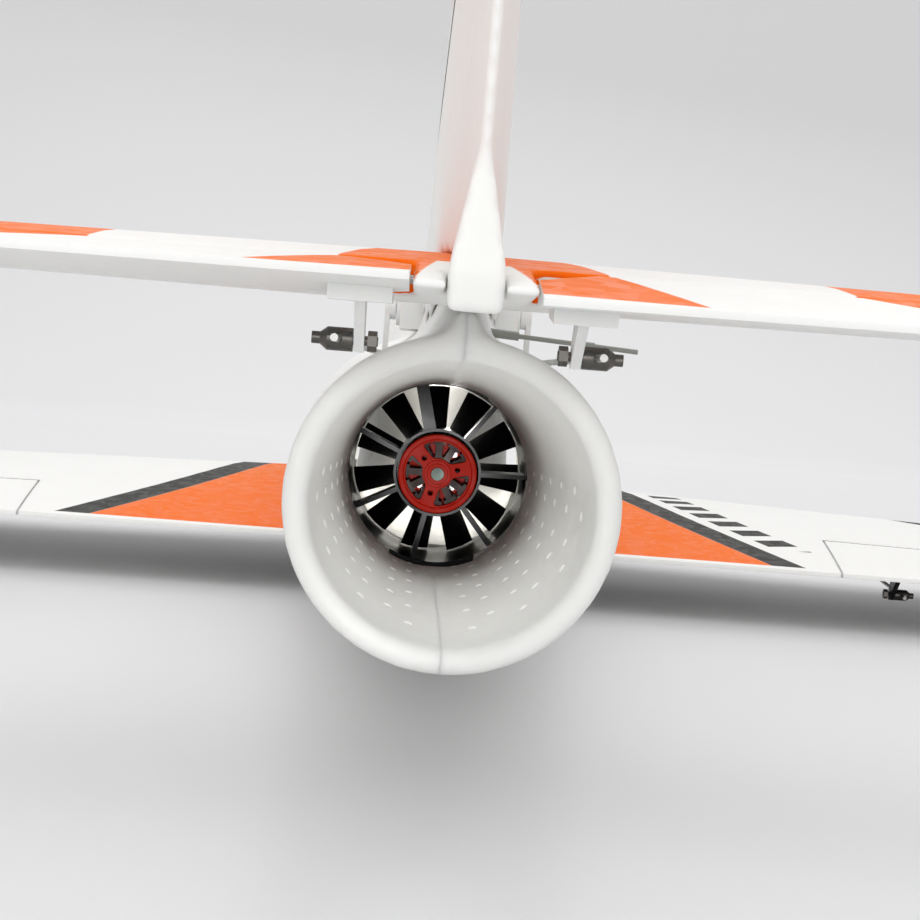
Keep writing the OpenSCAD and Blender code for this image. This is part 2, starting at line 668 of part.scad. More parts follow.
// Fin: a swept blade over the tailplane, which passes through it
function fin_le(z) = 236 - (z - 48) * 1.32;
function fin_te(z) = -42 - (z - 48) * (-42 - rear_y) / (fin_top - 48);
fin_round = fin_top - 14;
function fin_keep(z) = z <= fin_round ? 1
    : sqrt(max(0.03, 1 - pow((z - fin_round) / (fin_top - fin_round), 2)));
function fin_half_at(z) = (fin_half - 5 * (z - 48) / (fin_top - 48)) * fin_keep(z);
function fin_point(z, f, s) =
    let (le = fin_le(z) - 30 * (1 - fin_keep(z)), te = fin_te(z))
    [s * (fin_half_at(z) * stab_half(f) + 0.9 * f + 0.03), le + (te - le) * f, z];
function fin_section(z) = concat(
    [for (i = [14 : -1 : 0]) fin_point(z, (1 - cos(180 * i / 14)) / 2, -1)],
    [for (i = [0 : 14]) fin_point(z, (1 - cos(180 * i / 14)) / 2, 1)]
);
fin_heights = [40, 48, 80, 120, fin_round, fin_top - 9, fin_top - 4.5, fin_top - 1.5, fin_top];
module fin_loft() loft([for (z = fin_heights) fin_section(z)], true);
// Post that fills the tailplane's notch and fairs up into the fin's back edge
notch_y = stab_hinge_y - 12;
module fin_foot() tipped() difference() {
    hull() {
        box([-5.1, -57, stab_z - 4.6], [5.1, notch_y - 0.2, stab_z + 3]);
        box([-4.6, -54, stab_z + 3], [4.6, notch_y + 4, stab_z + 6]);
        box([-2.4, -45, stab_z + 14], [2.4, notch_y + 6, stab_z + 15]);
        box([-0.9, -41, stab_z + 26], [0.9, notch_y + 6, stab_z + 27]);
    }
    intersection() {
        stab_loft(0.12);
        box([-40, notch_y - 0.1, 0], [40, 100, 100]);
    }
    box([-40, notch_y - 0.1, 0], [40, 100, stab_z]);
}
module fin_blade() difference() {
    fin_loft();
    ridge_loft(gap, 2, 852);
    body_loft(gap);
    tipped() {
        stab_loft(0.12);
        box([-40, -120, 0], [40, 64, stab_z]);
    }
    for (s = [-1, 1]) side(s) elevator_servo_room();
}
module fin() color("white") moulded() {
    fin_blade();
    fin_foot();
}

// ---- fan and motor ----
module lug() difference() {
    box([-lug_w / 2, fan_rear, 0], [lug_w / 2, fan_rear + 10, lug_z]);
    along_y([0, fan_rear - 1, 0]) cylinder(r = fan_r + 0.5, h = 12);
    for (x = [-11, 11]) along_y([x, fan_rear - 1, lug_z - 2.6]) cylinder(r = 1.1, h = 12);
}
module vane(a, thick) rotate([0, -a, 0])
    box([tube_r + 0.5, 338, -thick / 2], [fan_r + 0.6, 358, thick / 2]);
module fan_housing() color("black") translate([0, 0, fan_z]) {
    along_y([0, fan_rear, 0]) ring(shroud_r, fan_r, fan_front - fan_rear);
    along_y([0, 336, 0]) ring(hub_r, tube_r, bulkhead_y + 3 - 336);
    along_y([0, bulkhead_y, 0]) difference() {
        cylinder(r = hub_r, h = 3);
        translate([0, 0, -1]) cylinder(r = 6, h = 5);
        for (a = [45 : 90 : 315]) rotate(a) translate([9.5, 0, -1]) cylinder(r = 1.6, h = 5);
    }
    for (i = [0 : vane_count - 1]) vane(vane_phase + 360 * i / vane_count, i == 2 ? 5 : 1.8);
    lug();
    mirror([0, 0, 1]) lug();
}
module fan_lip() color("black") along_y([0, fan_front + 0.05, fan_z]) rotate_extrude() difference() {
    translate([fan_r + 2.4, 0]) circle(r = 2.4, $fn = 32);
    translate([fan_r - 5, -10]) square([20, 10]);
}
module fan_mount_screws() color("silver") translate([0, 0, fan_z]) for (s = [0, 1])
    mirror([0, 0, s]) for (x = [-11, 11]) along_y([x, fan_rear - 0.9, lug_z - 2.6]) {
        cylinder(r = 1, h = 22);
        cylinder(r = 1.9, h = 0.9);
    }
// One blade, twisted from root to tip
blade_r = [hub_r - 0.6, 23, 29, fan_r - 0.5];
blade_tilt = [36, 40, 44, 47];
blade_chord = [14.5, 15, 15.6, 16.4];
module blade_slice(i) translate([blade_r[i], 0, 0]) rotate([blade_tilt[i], 0, 0])
    scale([1, 1, 0.07]) rotate([0, 90, 0]) cylinder(r = blade_chord[i] / 2, h = 0.05, $fn = 10);
module blade(a) rotate([0, -a, 0]) translate([0, rotor_y + rotor_len / 2, 0])
    for (i = [0 : len(blade_r) - 2]) hull() {
        blade_slice(i);
        blade_slice(i + 1);
    }
module fan_rotor() color("black") translate([0, 0, fan_z]) difference() {
    union() {
        along_y([0, rotor_y, 0]) cylinder(r = hub_r, h = rotor_len);
        intersection() {
            for (i = [0 : blade_count - 1]) blade(blade_phase + 360 * i / blade_count);
            along_y([0, rotor_y, 0]) cylinder(r = fan_r - 0.5, h = rotor_len);
        }
    }
    along_y([0, rotor_y - 1, 0]) cylinder(r = 12, h = rotor_len - 5);
    along_y([0, rotor_y - 1, 0]) cylinder(r = shaft_r + 0.1, h = 40);
}
module fan_spinner() color("black") along_y([0, rotor_y + rotor_len + 0.05, fan_z]) difference() {
    rotate_extrude() intersection() {
        scale([1, 1.55]) circle(r = hub_r);
        square([40, 40]);
    }
    translate([0, 0, -1]) cylinder(r = shaft_r + 0.05, h = 13);
}
module motor_bell() color("red") translate([0, 0, fan_z]) difference() {
    union() {
        along_y([0, bell_rear, 0]) ring(bell_r, 12.8, 3.4);
        along_y([0, bell_rear + 3.2, 0]) ring(bell_r, 14.2, 20.8);
        along_y([0, bell_rear - 0.8, 0]) cylinder(r = 5.6, h = 4);
        for (i = [0 : 2]) rotate([0, -spoke_phase - 120 * i, 0])
            box([3, bell_rear, -3.1], [13.4, bell_rear + 3.2, 3.1]);
    }
    along_y([0, bell_rear - 2, 0]) cylinder(r = shaft_r, h = 10);
    for (i = [0 : 2]) rotate([0, -spoke_phase - 120 * i, 0])
        along_y([bolt_r, bell_rear - 2, 0]) cylinder(r = 1, h = 8);
}
module motor_magnets() color("silver") for (i = [0 : 13]) translate([0, 0, fan_z])
    rotate([0, 360 * i / 14, 0]) intersection() {
        along_y([0, bell_rear + 6, 0]) ring(14.15, 13.2, 17);
        box([10, bell_rear, -2.6], [20, bell_rear + 40, 2.6]);
    }
module motor_shaft() color("lightgray") along_y([0, bell_rear - 1.4, fan_z])
    cylinder(r = shaft_r - 0.02, h = 72);
module motor_windings() color("peru") translate([0, 0, fan_z]) difference() {
    union() {
        along_y([0, bell_rear + 7, 0]) cylinder(r = 6.6, h = 16);
        for (i = [0 : 11]) rotate([0, 30 * i, 0]) {
            box([5, bell_rear + 6, -1.3], [11.4, bell_rear + 24, 1.3]);
            box([11.2, bell_rear + 8, -2.6], [12.7, bell_rear + 22, 2.6]);
        }
    }
    along_y([0, bell_rear, 0]) cylinder(r = 5.2, h = 50);
}
module motor_base() color("red") translate([0, 0, fan_z]) difference() {
    union() {
        along_y([0, bulkhead_y - 4.1, 0]) cylinder(r = 14, h = 4);
        along_y([0, bell_rear + 6, 0]) cylinder(r = 5.15, h = 30);
    }
    along_y([0, bell_rear, 0]) cylinder(r = shaft_r + 0.4, h = 50);
    for (y = [bell_rear + 5, bulkhead_y - 4]) along_y([0, y, 0]) cylinder(r = 4.05, h = 5);
    for (a = [45 : 90 : 315]) along_y([9.5 * cos(a), bulkhead_y - 5, 9.5 * sin(a)]) cylinder(r = 1.25, h = 8);
}
module motor_bearings() color("silver") translate([0, 0, fan_z]) for (y = [bell_rear + 6.2, bulkhead_y - 3.2])
    along_y([0, y, 0]) ring(4, shaft_r + 0.02, 2.8);
module motor_screws() color("silver") translate([0, 0, fan_z]) for (a = [45 : 90 : 315])
    along_y([9.5 * cos(a), bulkhead_y - 3, 9.5 * sin(a)]) {
        cylinder(r = 1.2, h = 6.2);
        translate([0, 0, 6.1]) cylinder(r = 2, h = 1.6);
    }

// ---- electrics ----
// Three leads leave the thick vane on top of the shroud and run forward to the controller
lead_y = [348, 524];
lead_z = [26.2, 34, 2];
lead_r = 1.1;
module lead_room() {
    box([-5, lead_y[0] - 5, fan_z + 30], [5, lead_y[0] + 5, lead_z[1] + 3]);
    box([-5, lead_y[0] - 5, lead_z[1] - 3], [5, 530, lead_z[1] + 3]);
    box([-5, 518, 0], [5, 530, lead_z[1] + 3]);
}
module motor_leads() color("black") for (i = [-1 : 1]) translate([2.6 * i, 0, 0]) {
    translate([0, lead_y[0], lead_z[0]]) cylinder(r = lead_r, h = lead_z[1] - lead_z[0]);
    along_y([0, lead_y[0], lead_z[1]]) cylinder(r = lead_r, h = lead_y[1] - lead_y[0]);
    translate([0, lead_y[1], lead_z[2]]) cylinder(r = lead_r, h = lead_z[1] - lead_z[2]);
    along_y([0, lead_y[1], lead_z[2]]) cylinder(r = lead_r, h = 528 - lead_y[1]);
    for (p = [[lead_y[0], lead_z[1]], [lead_y[1], lead_z[1]], [lead_y[1], lead_z[2]]])
        translate([0, p[0], p[1]]) sphere(r = lead_r, $fn = 16);
}
// Tube that holds the receiver's aerial square to the body, under the right tailplane
aerial_a = [6, 60, 38.6];
aerial_b = [43, 60, 36.6];
module aerial_room() bar(aerial_a, aerial_b, 1.3, -1, 12);
module aerial_tube() color("dimgray") {
    bar(aerial_a, aerial_b, 0.6, 0, norm(aerial_b - aerial_a));
    bar(aerial_a, aerial_b, 1.1, 0, 8);
    bar(aerial_a, aerial_b, 0.9, 24, 26.5);
}
module esc() color("royalblue") {
    box([-5, 528, -17.9], [5, 584, 12]);
    for (z = [-16 : 4 : 8]) box([5, 532, z], [7, 580, z + 1.6]);
}
module receiver() color("darkslategray") {
    box([-11, 598, bay_z + 0.1], [11, 640, bay_z + 12]);
    for (i = [0 : 5]) box([-9.4, 602 + i * 6, bay_z + 11], [-1.4, 606.5 + i * 6, bay_z + 14]);
}
module battery_tray() color("burlywood") difference() {
    box([-15, 648, bay_z + 0.1], [15, 780, bay_z + 2.5]);
    for (x = [-13, 13], y = strap_y) translate([x, y + 10, bay_z]) cube([2.4, 21, 8], center = true);
}
battery_y = [660, 768];
battery_z = bay_z + 2.6;
strap_y = [672, 702];
module battery() color("navy") {
    box([-17, battery_y[0], battery_z], [17, battery_y[1] - 40, battery_z + 25]);
    box([-15, battery_y[0], battery_z], [15, battery_y[1], battery_z + 24.8]);
    for (x = [-6, 0, 6]) along_y([x, battery_y[0] - 8, battery_z + 13]) cylinder(r = 1.7, h = 8.2);
}
module battery_strap() color("black") for (y = strap_y) difference() {
    box([-18.4, y, battery_z + 0.1], [18.4, y + 20, battery_z + 26.4]);
    box([-17.1, y - 1, battery_z - 1], [17.1, y + 21, battery_z + 25.1]);
}

module place() translate([0, -mid_y, -belly_z]) children();

place() fuselage_left();
place() fuselage_right();
place() fan_hatch();
place() hatch_screws();
place() canopy_frame();
place() canopy_glass();
place() canopy_clips();
place() clip_sockets();
place() wing_left();
place() wing_right();
place() wing_spar();
place() wing_bolts();
place() aileron_left();
place() aileron_right();
place() aileron_pins();
place() aileron_horn_left();
place() aileron_horn_right();
place() aileron_barrel_left();
place() aileron_barrel_right();
place() aileron_rod_left();
place() aileron_rod_right();
place() aileron_servo_left();
place() aileron_servo_right();
place() aileron_servo_arm_left();
place() aileron_servo_arm_right();
place() tailplane();
place() fin();
place() elevator_left();
place() elevator_right();
place() elevator_pins();
place() elevator_horn_left();
place() elevator_horn_right();
place() elevator_barrel_left();
place() elevator_barrel_right();
place() elevator_rod_left();
place() elevator_rod_right();
place() elevator_servo_left();
place() elevator_servo_right();
place() elevator_servo_arm_left();
place() elevator_servo_arm_right();
place() fan_housing();
place() fan_lip();
place() fan_mount_screws();
place() fan_rotor();
place() fan_spinner();
place() motor_bell();
place() motor_magnets();
place() motor_shaft();
place() motor_windings();
place() motor_base();
place() motor_bearings();
place() motor_screws();
place() motor_leads();
place() esc();
place() receiver();
place() aerial_tube();
place() battery();
place() battery_tray();
place() battery_strap();
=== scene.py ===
import bpy
import bmesh
import json
import math
from mathutils import Matrix, Vector

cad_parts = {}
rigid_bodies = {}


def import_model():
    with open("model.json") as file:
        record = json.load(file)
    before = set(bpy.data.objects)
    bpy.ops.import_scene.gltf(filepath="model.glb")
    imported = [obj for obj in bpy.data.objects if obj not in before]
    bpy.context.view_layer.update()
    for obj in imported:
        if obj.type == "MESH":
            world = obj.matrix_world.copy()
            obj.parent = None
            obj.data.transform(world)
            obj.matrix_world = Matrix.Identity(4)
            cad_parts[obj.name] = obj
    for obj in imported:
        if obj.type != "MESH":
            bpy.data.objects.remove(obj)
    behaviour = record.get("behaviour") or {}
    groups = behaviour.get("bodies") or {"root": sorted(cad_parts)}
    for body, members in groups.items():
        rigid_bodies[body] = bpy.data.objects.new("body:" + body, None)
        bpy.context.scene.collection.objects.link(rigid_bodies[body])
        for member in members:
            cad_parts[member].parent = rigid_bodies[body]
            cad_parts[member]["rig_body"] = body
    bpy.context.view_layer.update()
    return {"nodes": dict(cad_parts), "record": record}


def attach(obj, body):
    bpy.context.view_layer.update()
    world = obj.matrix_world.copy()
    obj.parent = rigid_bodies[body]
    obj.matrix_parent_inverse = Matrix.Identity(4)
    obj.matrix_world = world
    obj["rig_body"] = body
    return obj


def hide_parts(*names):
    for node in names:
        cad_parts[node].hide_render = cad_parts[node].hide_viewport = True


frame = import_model()
nodes = frame["nodes"]
slots = {s["node"]: s["material_slot"] for s in frame["record"]["subparts"]}
scene = bpy.context.scene

# Lengths are metres, apart from the motor bell's, which are mm. A station is counted forward
# from the nozzle's exit, and a height up from its centre.
EXIT_Y, AXIS_Z = -0.4425, 0.060
FAN_DROP = 0.0104                # how far the fan's axis lies below the nozzle's
FAN_Z = AXIS_Z - FAN_DROP
BELL_Y = EXIT_Y + 0.326          # the motor bell's rear face


def srgb(code):
    """A colour such as F08A48 as the linear numbers that shaders use."""
    parts = [int(code[i : i + 2], 16) / 255 for i in (0, 2, 4)]
    return [c / 12.92 if c <= 0.04045 else ((c + 0.055) / 1.055) ** 2.4 for c in parts] + [1]


def add(name, data):
    """A new object in the scene."""
    o = bpy.data.objects.new(name, data)
    scene.collection.objects.link(o)
    return o


# ---------------------------------------------------------------- materials

PAINT_EDGE = 0.0003              # half the width over which a painted area's edge fades
MIX_FACTOR, MIX_A, MIX_B, MIX_COLOR = 0, 6, 7, 2    # a colour Mix node's sockets
NOISE = (0.3, 0.7)               # the range that most of a noise's values lie in
X, Y, Z = 0, 1, 2


class Paint:
    """One procedural material."""

    def __init__(self, name, color="F0F0EE", rough=0.5, metal=0.0, **sockets):
        self.mat = bpy.data.materials.new(name)
        self.mat.use_nodes = True
        self.tree = self.mat.node_tree
        self.bsdf = self.tree.nodes["Principled BSDF"]
        self.set("Base Color", srgb(color))
        self.set("Roughness", rough)
        self.set("Metallic", metal)
        for key, value in sockets.items():
            self.set(key.replace("_", " "), value)
        self.at = self.node("TexCoord", out="Object")
        self.height = None

    def put(self, value, socket):
        """Links value to socket if it comes from a node, or else sets it there."""
        if isinstance(value, bpy.types.NodeSocket):
            self.tree.links.new(value, socket)
        else:
            socket.default_value = value

    def set(self, socket, value):
        self.put(value, self.bsdf.inputs[socket])

    def node(self, kind, *ins, out=0, **settings):
        """A node's output. Settings with a capital letter are its inputs by name."""
        made = self.tree.nodes.new("ShaderNode" + kind)
        inputs = dict(enumerate(ins))
        for key, value in settings.items():
            if key[0].isupper():
                inputs[key] = value
            else:
                setattr(made, key, value)
        for key, value in inputs.items():
            self.put(value, made.inputs[key])
        return made.outputs[out]

    def op(self, what, a, b=0.0, c=0.0):
        return self.node("Math", a, b, c, operation=what)

    def axes(self, vector=None):
        made = self.tree.nodes.new("ShaderNodeSeparateXYZ")
        self.tree.links.new(vector or self.at, made.inputs[0])
        return made.outputs[X], made.outputs[Y], made.outputs[Z]

    def facing(self, axis):
        """The surface normal's part along an axis of the object."""
        return self.axes(self.node("TexCoord", out="Normal"))[axis]

    def slant(self, value, *terms):
        """value plus each term, which is another value and its share."""
        for other, share in terms:
            value = self.op("ADD", value, self.op("MULTIPLY", other, share))
        return value

    def ramp(self, value, low, high, to_low, to_high):
        return self.node("MapRange", value, low, high, to_low, to_high)

    def over(self, value, edge, soft=PAINT_EDGE):
        """1 where value is above edge and 0 below it, over a short ramp."""
        return self.ramp(value, edge - soft, edge + soft, 0.0, 1.0)

    def under(self, value, edge, soft=PAINT_EDGE):
        """1 where value is below edge and 0 above it, over a short ramp."""
        return self.ramp(value, edge - soft, edge + soft, 1.0, 0.0)

    def all(self, *masks):
        made = masks[0]
        for m in masks[1:]:
            made = self.op("MULTIPLY", made, m)
        return made

    def between(self, value, low, high):
        return self.all(self.over(value, low), self.under(value, high))

    def blend(self, share, a, b):
        """The colour a where share is 0 and b where it is 1."""
        made = self.tree.nodes.new("ShaderNodeMix")
        made.data_type = "RGBA"
        for key, value in ((MIX_FACTOR, share), (MIX_A, a), (MIX_B, b)):
            self.put(srgb(value) if isinstance(value, str) else value, made.inputs[key])
        return made.outputs[MIX_COLOR]

    def noise(self, scale, detail=2.0):
        return self.node("TexNoise", Vector=self.at, Scale=scale, Detail=detail)

    def bump(self, height, strength, distance):
        """Adds a bump to those that the material already has."""
        made = self.tree.nodes.new("ShaderNodeBump")
        made.inputs["Strength"].default_value = strength
        made.inputs["Distance"].default_value = distance
        self.tree.links.new(height, made.inputs["Height"])
        if self.height is not None:
            self.tree.links.new(self.height, made.inputs["Normal"])
        self.height = made.outputs[0]
        self.set("Normal", self.height)


# The foam's two tones vary at random; the grey is painted shade for the engraved lines' grooves.
FOAM_WHITE, FOAM_SHADE, GROOVE_SHADE_GREY = "F1F1EF", "E9E9E6", "8E8E8A"
FOAM_SCATTER = [1.0, 0.97, 0.92]
BEADS_PER_METRE = 300.0
ORANGE, STRIPE = "F06A04", "2C2C28"
FACE_SOFT = 0.05                 # half the ramp over which a painted side ends at a rounded edge


def panel_lines(p, stations):
    """Narrow engraved lines round the body's outside at the given stations, as a mask that both
    sinks them and greys them with painted shade.
    """
    half_width, soft = 0.0004, 0.0002
    x, y, _ = p.axes()
    lines = 0.0
    for station in stations:
        off = p.op("ABSOLUTE", p.op("SUBTRACT", y, EXIT_Y + station))
        lines = p.op("MAXIMUM", lines, p.under(off, half_width, soft))
    outside = p.over(p.op("MULTIPLY", p.facing(X), x), 0.004, 0.002)
    return p.op("MULTIPLY", lines, outside)


def foam(name, decal=None, beads=0.12, gloss=0.2, lines=()):
    """Moulded foam: faint beads under a smooth skin, with decal's paint and engraved lines greyed
    with painted shade.
    """
    p = Paint(name, Subsurface_Weight=0.5, Subsurface_Scale=0.003, Specular_IOR_Level=gloss)
    p.set("Subsurface Radius", FOAM_SCATTER)
    color = p.blend(p.noise(14.0, 3.0), FOAM_WHITE, FOAM_SHADE)
    bead = {"Vector": p.at, "Scale": BEADS_PER_METRE, "feature": "F1"}
    cell = p.node("TexVoronoi", **bead)
    tint = p.node("TexVoronoi", out="Color", **bead)
    p.set("Roughness", p.ramp(p.axes(tint)[X], 0.0, 1.0, 0.36, 0.56))
    if decal:
        color = decal(p, color)
    if lines:
        engraved = panel_lines(p, lines)
        # The engraved lines' grey is painted shade in the grooves.
        color = p.blend(p.op("MULTIPLY", engraved, 0.35), color, GROOVE_SHADE_GREY)
        p.bump(p.op("MULTIPLY", engraved, -1.0), 0.8, 0.0005)
    p.set("Base Color", color)
    p.bump(cell, beads, 0.0006)
    p.bump(p.noise(60.0), beads * 0.8, 0.002)
    return p.mat


def wing_decal(right):
    """Orange root and tip with dark stripes beside them, and a row of bars on the right wing.

    root and tip are constant along the slanted edges of those areas. The root's edge is bowed."""
    trailing_edge, chord, bare_edge = 0.325, 0.153, 0.0035
    root_edge, root_stripe, root_slope, root_bow = 0.137, 0.1505, 0.3725, 1.6
    tip_stripe, tip_edge, tip_slope = 0.2785, 0.292, 0.431
    bars_from, bars_to, bars_rear, bars_front = 0.1575, 0.1725, 0.029, 0.150
    bar_pitch, bar_gap, bar_lean, bar_soft = 0.019, 0.42, 0.32, 0.02

    def paint(p, color):
        x, y, _ = p.axes()
        nz = p.facing(Z)
        ax = p.op("ABSOLUTE", x)
        back = p.op("SUBTRACT", y, EXIT_Y + trailing_edge)
        bow = p.op("MULTIPLY", back, p.op("SUBTRACT", chord, back))
        root = p.slant(ax, (back, root_slope), (bow, root_bow))
        tip = p.slant(ax, (back, tip_slope))
        top = p.over(nz, 0.0, FACE_SOFT)
        below = p.under(nz, 0.0, FACE_SOFT)
        off_edge = p.over(back, bare_edge)
        beyond = p.over(tip, tip_edge)
        orange = p.op("ADD", p.under(root, root_edge), beyond)
        beside_root = p.between(root, root_edge, root_stripe)
        dark = p.op("ADD", beside_root, p.between(tip, tip_stripe, tip_edge))
        if right:
            along = p.slant(back, (ax, -bar_lean))
            teeth = p.op("FRACT", p.op("MULTIPLY", along, 1 / bar_pitch))
            bars = p.all(
                p.between(root, bars_from, bars_to), p.over(teeth, bar_gap, bar_soft),
                p.between(back, bars_rear, bars_front),
            )
            dark = p.op("ADD", dark, bars)
        color = p.blend(p.all(orange, top, off_edge), color, ORANGE)
        color = p.blend(p.all(dark, top, off_edge), color, STRIPE)
        return p.blend(p.all(below, beyond, off_edge), color, STRIPE)
    return paint


def tail_decal(p, color):
    """Orange wedges and tips on top, on across the elevators' hinge and clear of the fin's foot."""
    hinge_line, hinge_half, rear_edge = -0.027, 0.006, -0.0265
    middle, front_slope, rear_slope = 0.027, 0.167, 0.57
    tip_edge, tip_slope = 0.075, 1.33
    fin_foot, foot_slope, foot_front = 0.0079, 0.123, 0.005
    x, y, _ = p.axes()
    nz = p.facing(Z)
    ax = p.op("ABSOLUTE", x)
    back = p.op("SUBTRACT", y, EXIT_Y + hinge_line)
    hinge = p.all(p.between(back, -hinge_half, hinge_half), p.over(nz, -0.3, FACE_SOFT))
    up = p.op("MAXIMUM", p.over(nz, 0.25, FACE_SOFT), hinge)
    top = p.all(up, p.over(back, rear_edge))
    inside = p.op(
        "MAXIMUM",
        p.under(p.slant(ax, (back, front_slope)), middle),
        p.under(p.slant(ax, (back, rear_slope)), middle),
    )
    foot = p.all(p.under(back, foot_front), p.under(p.slant(ax, (back, foot_slope)), fin_foot))
    outside = p.over(p.slant(ax, (p.op("MINIMUM", back, 0.0), tip_slope)), tip_edge)
    shown = p.op("MAXIMUM", p.all(inside, p.op("SUBTRACT", 1.0, foot)), outside)
    return p.blend(p.all(shown, top), color, ORANGE)


def fin_decal(p, color):
    """An orange cap on the fin, and a narrow dark stripe below it."""
    slope, cap_edge, stripe_low, stripe_high = 0.55, 0.152, 0.137, 0.143
    _, y, z = p.axes()
    station = p.op("SUBTRACT", y, EXIT_Y)
    rise = p.slant(p.op("SUBTRACT", z, AXIS_Z), (station, slope))
    color = p.blend(p.over(rise, cap_edge), color, ORANGE)
    return p.blend(p.between(rise, stripe_low, stripe_high), color, STRIPE)


def body_decal(p, color):
    """An orange wedge on each side of the nose, with a dark band at its rear end."""
    band_from, band_to, wedge_from, wedge_to = 0.650, 0.656, 0.66, 0.86
    top, bottom, slope_from, slope, half_width = 0.012, -0.034, 0.56, 0.16, 0.012
    x, y, z = p.axes()
    station = p.op("SUBTRACT", y, EXIT_Y)
    height = p.op("SUBTRACT", z, AXIS_Z)
    wedge = p.slant(height, (p.op("SUBTRACT", station, slope_from), -slope))
    outward = p.over(p.op("MULTIPLY", p.facing(X), x), 0.0002, 0.0002)
    side = p.all(outward, p.between(wedge, bottom, top), p.over(p.op("ABSOLUTE", x), half_width))
    color = p.blend(p.all(side, p.between(station, wedge_from, wedge_to)), color, ORANGE)
    return p.blend(p.all(side, p.between(station, band_from, band_to)), color, STRIPE)


def plain(name, color, deep, rough, metal=0.0, grain=120.0, **sockets):
    """A moulded or machined finish with a fine grain and slight change of tone."""
    p = Paint(name, color, rough, metal, **sockets)
    p.set("Base Color", p.blend(p.noise(45.0, 3.0), color, deep))
    p.set("Roughness", p.ramp(p.noise(grain, 3.0), *NOISE, rough * 0.8, min(1.0, rough * 1.25)))
    p.bump(p.noise(grain * 6), 0.06, 0.0002)
    return p


def turned(name, color, deep, rough, metal, **sockets):
    """Metal turned about the fan's axis: fine rings."""
    rings_per_metre, turn = 2600.0, 6.28
    p = plain(name, color, deep, rough, metal, **sockets)
    x, y, z = p.axes()
    dz = p.op("SUBTRACT", z, FAN_Z)
    radius = p.op("SQRT", p.op("ADD", p.op("MULTIPLY", x, x), p.op("MULTIPLY", dz, dz)))
    rings = p.op("SINE", p.op("MULTIPLY", p.op("ADD", radius, y), rings_per_metre * turn))
    p.bump(rings, 0.10, 0.00005)
    return p


def webbing():
    """Black strap, woven in both directions."""
    threads = 4200.0
    p = plain("webbing", "1C1C1E", "101012", 0.8)
    x, y, z = p.axes()
    warp = p.op("SINE", p.op("MULTIPLY", p.op("ADD", x, z), threads))
    weft = p.op("SINE", p.op("MULTIPLY", y, threads))
    p.bump(p.op("MULTIPLY", warp, weft), 0.5, 0.0003)
    return p


def wood():
    """Plywood with its grain along the body."""
    cells_per_metre = (260.0, 18.0, 90.0)
    p = Paint("ply", "C6A06A", 0.55)
    stretch = p.node("Mapping", p.at, Scale=cells_per_metre)
    grain = p.node("TexNoise", Vector=stretch, Scale=1.0, Detail=4.0)
    p.set("Base Color", p.blend(p.ramp(grain, 0.35, 0.65, 0.0, 1.0), "D0AC78", "A87C48"))
    p.set("Roughness", p.ramp(grain, *NOISE, 0.5, 0.7))
    p.bump(grain, 0.15, 0.0003)
    return p


def carbon():
    """Carbon tube with a faint slanted weave."""
    threads = 3000.0
    p = plain("carbon", "15161A", "0C0D10", 0.3, Coat_Weight=0.6)
    x, y, z = p.axes()
    weave = p.op("SINE", p.op("MULTIPLY", p.op("ADD", x, p.op("ADD", y, z)), threads))
    p.bump(weave, 0.15, 0.0002)
    return p


def wrap(name, color, deep):
    """Shrink-wrap with soft wrinkles."""
    p = plain(name, color, deep, 0.3, grain=60.0, Coat_Weight=0.4)
    p.bump(p.noise(24.0), 0.25, 0.002)
    return p


def smoked():
    """The dark moulded canopy glass."""
    p = Paint("smoked", "23262B", 0.08, Coat_Weight=1.0, Coat_Roughness=0.03)
    p.set("Roughness", p.ramp(p.noise(30.0), *NOISE, 0.06, 0.13))
    p.set("Base Color", p.blend(p.noise(6.0), "1B1E23", "2C3036"))
    return p


# The materials of the record's slots and of the tube's marks, and then those of single nodes.
PANEL_STATIONS = (0.205, 0.405, 0.565, 0.875)
made = {
    "foam": foam("foam_body", body_decal, lines=PANEL_STATIONS),
    # The tube's marks are pure white, whiter than the foam round them: a painted highlight where
    # they catch the light.
    "pip_highlight": plain("pip_highlight", "FFFFFF", "FAFAF8", 0.4).mat,
    "canopy_foam": foam("foam_canopy"),
    "smoked_clear": smoked().mat,
    "black_nylon": plain(
        "black_nylon", "0A0A0B", "050506", 0.34, grain=40.0, Specular_IOR_Level=0.3).mat,
    "white_nylon": plain(
        "white_nylon", "EEEEEC", "E0E0DE", 0.4, Subsurface_Weight=0.15, Subsurface_Scale=0.002).mat,
    "red_anodised": turned(
        "red_anodised", "EA2A12", "D6220E", 0.42, 0.0, Specular_IOR_Level=0.12).mat,
    "steel": turned("steel", "A9A9A6", "8E8E8C", 0.3, 1.0).mat,
    "black_steel": plain("black_steel", "4A4A4A", "303030", 0.35, 0.8).mat,
    "nickel": plain("nickel", "6B6864", "4C4A47", 0.28, 0.9).mat,
    "magnet": plain("magnet", "9A9A96", "7C7C78", 0.3, 1.0).mat,
    # The windings' copper is very dark: the enamel's own brown, darkened further as painted shade
    # inside the bell.
    "copper": plain("copper", "2E1408", "140803", 0.45, 0.3).mat,
    "carbon": carbon().mat,
    "wire_grey": plain("wire_grey", "A3A39C", "8C8C86", 0.45).mat,
    "white_case": plain(
        "white_case", "EEEEEC", "E0E0DE", 0.3, Subsurface_Weight=0.2, Subsurface_Scale=0.002).mat,
    "servo_blue": plain("servo_blue", "16386E", "0F2850", 0.18, Coat_Weight=0.5).mat,
    "wood_ply": wood().mat,
    "wrap_blue": wrap("wrap_blue", "17306A", "101F48").mat,
    "wrap_dark": wrap("wrap_dark", "20242A", "15181C").mat,
    "silicone": plain("silicone", "141416", "0B0B0C", 0.42).mat,
    "webbing": webbing().mat,
}
